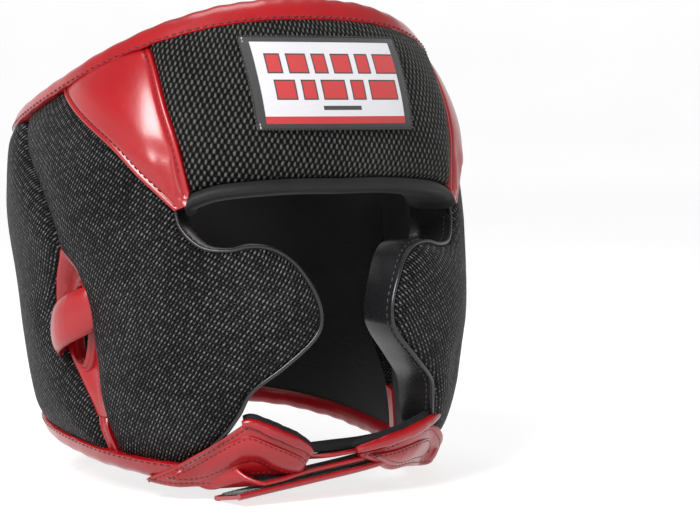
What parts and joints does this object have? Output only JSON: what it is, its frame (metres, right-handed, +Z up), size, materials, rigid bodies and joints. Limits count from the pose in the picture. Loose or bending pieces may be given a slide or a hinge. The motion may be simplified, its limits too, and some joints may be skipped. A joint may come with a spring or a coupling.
{
  "type": "boxing headgear",
  "caption": "Padded boxing headgear with cheek lobes, open crown, ear openings, chin strap and hook-and-loop closures; its strap ends peel open.",
  "frame": {"origin": "centre of the head cavity on the plane of symmetry, at temple height", "axes": "+Z up, the face opening looks along -Y, +X is the wearer's left"},
  "size_m": [0.238, 0.2664, 0.2412],
  "materials": {
    "mesh_black": "knitted spacer mesh",
    "foam": "foam padding",
    "lining_black": "smooth matt lining",
    "leather_red": "semi-gloss coated leather",
    "leather_black": "gloss coated leather",
    "hook_black": "hook tape",
    "loop_black": "loop tape",
    "elastic_black": "ribbed elastic",
    "label_woven": "woven patch"
  },
  "bodies": {
    "headgear": {"forehead_cover": "mesh_black", "side_cover_R": "mesh_black", "side_cover_L": "mesh_black", "rear_cover_R": "mesh_black", "rear_cover_L": "mesh_black", "forehead_foam": "foam", "temple_foam_R": "foam", "temple_foam_L": "foam", "side_foam_R": "foam", "side_foam_L": "foam", "rear_foam_R": "foam", "rear_foam_L": "foam", "forehead_lining": "lining_black", "brow_roll": "lining_black", "chin_pad": "lining_black", "temple_lining_R": "lining_black", "temple_lining_L": "lining_black", "side_lining_R": "lining_black", "side_lining_L": "lining_black", "rear_lining_R": "lining_black", "rear_lining_L": "lining_black", "crown_trim": "leather_red", "chin_strap": "leather_red", "crown_strap_R": "leather_red", "crown_strap_L": "leather_red", "crown_strap_middle": "leather_red", "rear_strap": "leather_red", "temple_wedge_R": "leather_red", "temple_wedge_L": "leather_red", "jaw_trim_R": "leather_red", "jaw_trim_L": "leather_red", "ear_panel_R": "leather_red", "ear_panel_L": "leather_red", "ear_ring_R": "leather_red", "ear_ring_L": "leather_red", "ear_bridge_R": "leather_red", "ear_bridge_L": "leather_red", "ear_strip_R": "leather_red", "ear_strip_L": "leather_red", "chin_tab_R": "leather_red", "chin_tab_L": "leather_red", "chin_roll_R": "leather_red", "chin_roll_L": "leather_red", "cheek_gusset_R": "leather_black", "cheek_gusset_L": "leather_black", "cheek_piping_R": "leather_black", "cheek_piping_L": "leather_black", "chin_loop_patch": "loop_black", "crown_loop_patch": "loop_black", "rear_loop_patch": "loop_black", "rear_elastic": "elastic_black", "forehead_label": "label_woven"},
    "chin_tail": {"chin_strap_tail": "leather_red", "chin_hook_patch": "hook_black"},
    "crown_tail": {"crown_strap_tail": "leather_red", "crown_hook_patch": "hook_black"},
    "rear_tail": {"rear_strap_tail": "leather_red", "rear_hook_patch": "hook_black"}
  },
  "joints": [
    {"name": "chin_tail_peel", "type": "hinge", "parent": "headgear", "child": "chin_tail", "pos_m": [0.0434, -0.094, -0.1184], "axis": [0, -1, 0], "range_deg": [0, 100]},
    {"name": "crown_tail_peel", "type": "hinge", "parent": "headgear", "child": "crown_tail", "pos_m": [0.05085, 0.003, 0.09528], "axis": [0, 1, 0], "range_deg": [0, 110]},
    {"name": "rear_tail_peel", "type": "hinge", "parent": "headgear", "child": "rear_tail", "pos_m": [0.024, 0.1298, 0.029], "axis": [0, 0, -1], "range_deg": [0, 110]}
  ]
}
